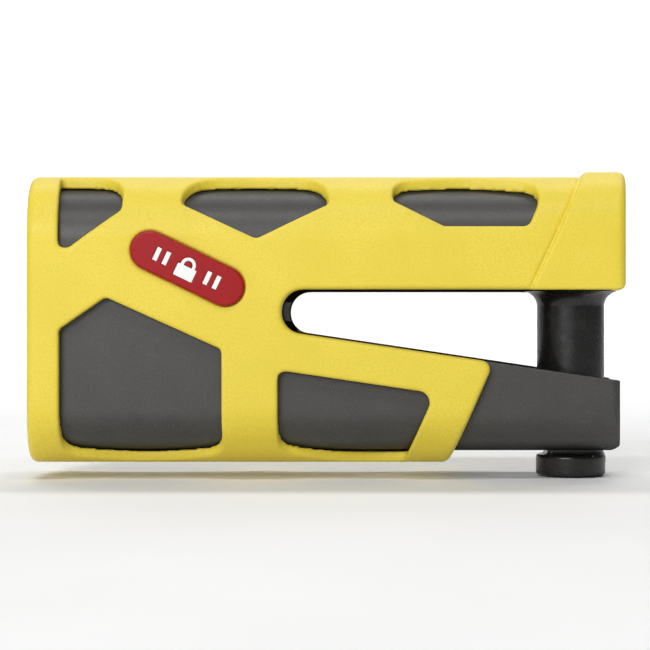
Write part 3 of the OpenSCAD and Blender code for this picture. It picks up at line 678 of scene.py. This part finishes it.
def graphite_coating():
    n = Nodes("painted_body")
    grain = n.noise(0.3, 3.0, 0.6)
    wide = n.noise(6.0, 2.0)
    colour = n.mix(n.ramp(wide, 0.3, 0.7), "#3c3b3a", "#403f3d")
    colour = n.mix(n.ramp(grain, 0.55, 0.75), colour, "#54524f")
    # Painted shade: the base colour darkens to #1c1b1a as the surface turns away towards grazing angles, in
    # place of the shade those faces get
    colour = n.mix(n.by_angle(0.0, 1.0), colour, "#1c1b1a")
    rough = n.ramp(grain, 0.3, 0.7, 0.48, 0.34)
    normal = n.bump(grain, 0.045, 0.6)
    return n.finish(colour, rough, normal, specular=n.by_angle(0.45, 0.0))


def black_bolt():
    n = Nodes("bolt_black")
    peel = n.noise(0.5, 3.0, 0.6)
    scuff = n.noise(2.2, 5.0, 0.7)
    colour = n.mix(n.ramp(scuff, 0.6, 0.72), "#1b1a19", "#292826")
    rough = n.ramp(scuff, 0.4, 0.75, 0.2, 0.4)
    normal = n.bump(peel, 0.03, 0.4)
    return n.finish(colour, rough, normal, specular=n.by_angle(0.45, 0.1))


def metal(name, colour, dark, rough=0.3, stretch=(1.0, 1.0, 1.0), grain_mm=0.4):
    n = Nodes(name)
    lines = n.noise(grain_mm, 3.0, 0.6, stretch)
    stain = n.noise(3.0, 3.0)
    tone = n.mix(n.ramp(stain, 0.3, 0.7), dark, colour)
    roughness = n.ramp(lines, 0.3, 0.7, rough + 0.1, rough - 0.06)
    return n.finish(tone, roughness, n.bump(lines, 0.012, 0.3), metallic=1.0)


def plain(name, colour, other, rough, grain_mm, depth, coat=0.0, specular=0.5):
    n = Nodes(name)
    grain = n.noise(grain_mm, 3.0)
    tone = n.mix(n.ramp(grain, 0.3, 0.7), other, colour)
    roughness = n.ramp(grain, 0.3, 0.7, rough + 0.06, rough - 0.04)
    return n.finish(tone, roughness, n.bump(grain, depth, 0.4), coat=coat, specular=specular)


MATERIALS = {
    "yellow_cover": yellow_plastic(),
    "painted_body": graphite_coating(),
    "bolt_black": black_bolt(),
    "badge_red": plain("badge_red", "#9e0a12", "#990911", 0.3, 1.2, 0.004, 0.0, 0.25),
    "badge_white": plain("badge_white", "#f2f2f0", "#e8e8e6", 0.3, 0.8, 0.004, 0.3),
    "rubber_black": plain("rubber_black", "#1b1b1b", "#141414", 0.72, 0.35, 0.03, 0.0, 0.15),
    "black_plastic": plain("black_plastic", "#262524", "#1f1e1d", 0.5, 0.4, 0.03),
    "hard_steel": metal("hard_steel", "#b6b8ba", "#9fa1a3", 0.3, (1.0, 0.1, 1.0)),
    "plated_steel": metal("plated_steel", "#cfd1d3", "#c0c2c4", 0.2),
    "spring_steel": metal("spring_steel", "#a4a7aa", "#8b8e91", 0.26, (1.0, 1.0, 0.2)),
    "lock_brass": metal("lock_brass", "#cfac52", "#b8933c", 0.28, (1.0, 0.2, 1.0))}

slots = {part["node"]: part["material_slot"] for part in frame["record"]["subparts"]}


def dress(piece, slot_name):
    """Puts one material on a piece."""
    piece.data.materials.clear()
    piece.data.materials.append(MATERIALS[slot_name])


for node, piece in frame["nodes"].items():
    dress(piece, slots[node])

# ---- Pieces ------------------------------------------------------------------------------------------

FINE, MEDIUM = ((0.2, 0.4))
SKINS = [
    ("front_cover_skin", front_field, "front_cover", MEDIUM),
    ("rear_cover_skin", rear_field, "rear_cover", MEDIUM),
    ("lock_frame_skin", frame_field, "lock_frame", MEDIUM),
    ("sled_jaw_skin", jaw_field, "sled_jaw", MEDIUM),
    ("locking_bolt_skin", bolt_field, "locking_bolt", FINE),
    ("badge_plate_skin", badge_field, "badge_plate", FINE / 2),
    ("badge_emblem_skin", emblem_field, "badge_emblem", FINE / 2)]
for name, field, node, pitch in SKINS:
    piece = skin(name, field, node, pitch)
    dress(piece, slots[node])

# ---- Stage -------------------------------------------------------------------------------------------


def stage_material():
    n = Nodes("stage_pale")
    tone = n.mix(n.ramp(n.noise(40.0, 2.0), 0.3, 0.7), "#eeeeee", "#f1f1f1")
    return n.finish(tone, 0.9)


def cyclorama():
    """A floor that curves up into a backdrop."""
    floor_z_m, near, bend, radius, top, half = bolt_low[2] * MM - 0.0003, -1.2, 0.9, 0.5, 2.2, 2.5
    profile = [(near, floor_z_m), (bend, floor_z_m)]
    steps = 16
    for i in range(1, steps + 1):
        a = math.pi / 2 * i / steps
        profile.append((bend + radius * math.sin(a), floor_z_m + radius * (1 - math.cos(a))))
    profile.append((bend + radius, top))
    points = [(x, y, z) for y, z in profile for x in (-half, half)]
    faces = [(2 * i, 2 * i + 1, 2 * i + 3, 2 * i + 2) for i in range(len(profile) - 1)]
    mesh = bpy.data.meshes.new("stage_floor")
    mesh.from_pydata(points, [], faces)
    mesh.shade_smooth()
    floor = bpy.data.objects.new("stage_floor", mesh)
    bpy.context.scene.collection.objects.link(floor)
    floor.data.materials.append(stage_material())


CENTRE = Vector((-0.0476, 0, 0.0014))


def softbox(name, place, size, power, aim=CENTRE):
    lamp = bpy.data.lights.new(name, "AREA")
    lamp.shape = "RECTANGLE"
    lamp.size, lamp.size_y = size
    lamp.energy = power
    holder = bpy.data.objects.new(name, lamp)
    holder.location = place
    holder.rotation_euler = (aim - Vector(place)).to_track_quat("-Z", "Y").to_euler()
    bpy.context.scene.collection.objects.link(holder)


def studio():
    cyclorama()
    softbox("key_box", (-0.40, -0.85, 0.36), (0.5, 0.4), 5.0)
    softbox("band_box", (-0.05, -0.5, 0.8), (0.7, 0.1), 3.0)
    softbox("front_box", (-0.28, -1.0, 0.06), (0.75, 0.5), 0.6)
    softbox("back_box", (0.0, 0.55, 1.3), (1.8, 0.5), 22.0, Vector((0.0, 1.4, 0.3)))
    world = bpy.data.worlds.new("studio")
    world.use_nodes = True
    world.node_tree.nodes["Background"].inputs["Color"].default_value = (1, 1, 1, 1)
    world.node_tree.nodes["Background"].inputs["Strength"].default_value = 0.1
    bpy.context.scene.world = world
    bpy.context.scene.view_settings.view_transform = "Standard"


def camera():
    """Looks straight along +Y, with the lens shifted sideways while the camera is at its home place."""
    home, shift = -0.03308, -0.1154
    lens = bpy.data.cameras.new("camera")
    lens.lens = 95.6
    lens.sensor_width = 36
    lens.clip_start = 0.01
    lens.shift_x = shift
    eye = bpy.data.objects.new("camera", lens)
    eye.location = (home, -0.335, 0.0014)
    eye.rotation_euler = (math.pi / 2, 0, 0)
    bpy.context.scene.collection.objects.link(eye)
    bpy.context.scene.camera = eye
    curve = lens.driver_add("shift_x")
    curve.driver.type = "AVERAGE"
    place = curve.driver.variables.new()
    place.type = "TRANSFORMS"
    place.targets[0].id = eye
    place.targets[0].transform_type = "LOC_X"
    for modifier in list(curve.modifiers):
        curve.modifiers.remove(modifier)
    curve.keyframe_points.add(3)
    for key, x, value in zip(curve.keyframe_points, (home - 0.002, home, home + 0.002), (0, shift, 0)):
        key.interpolation = "LINEAR"
        key.co = (x, value)


studio()
camera()
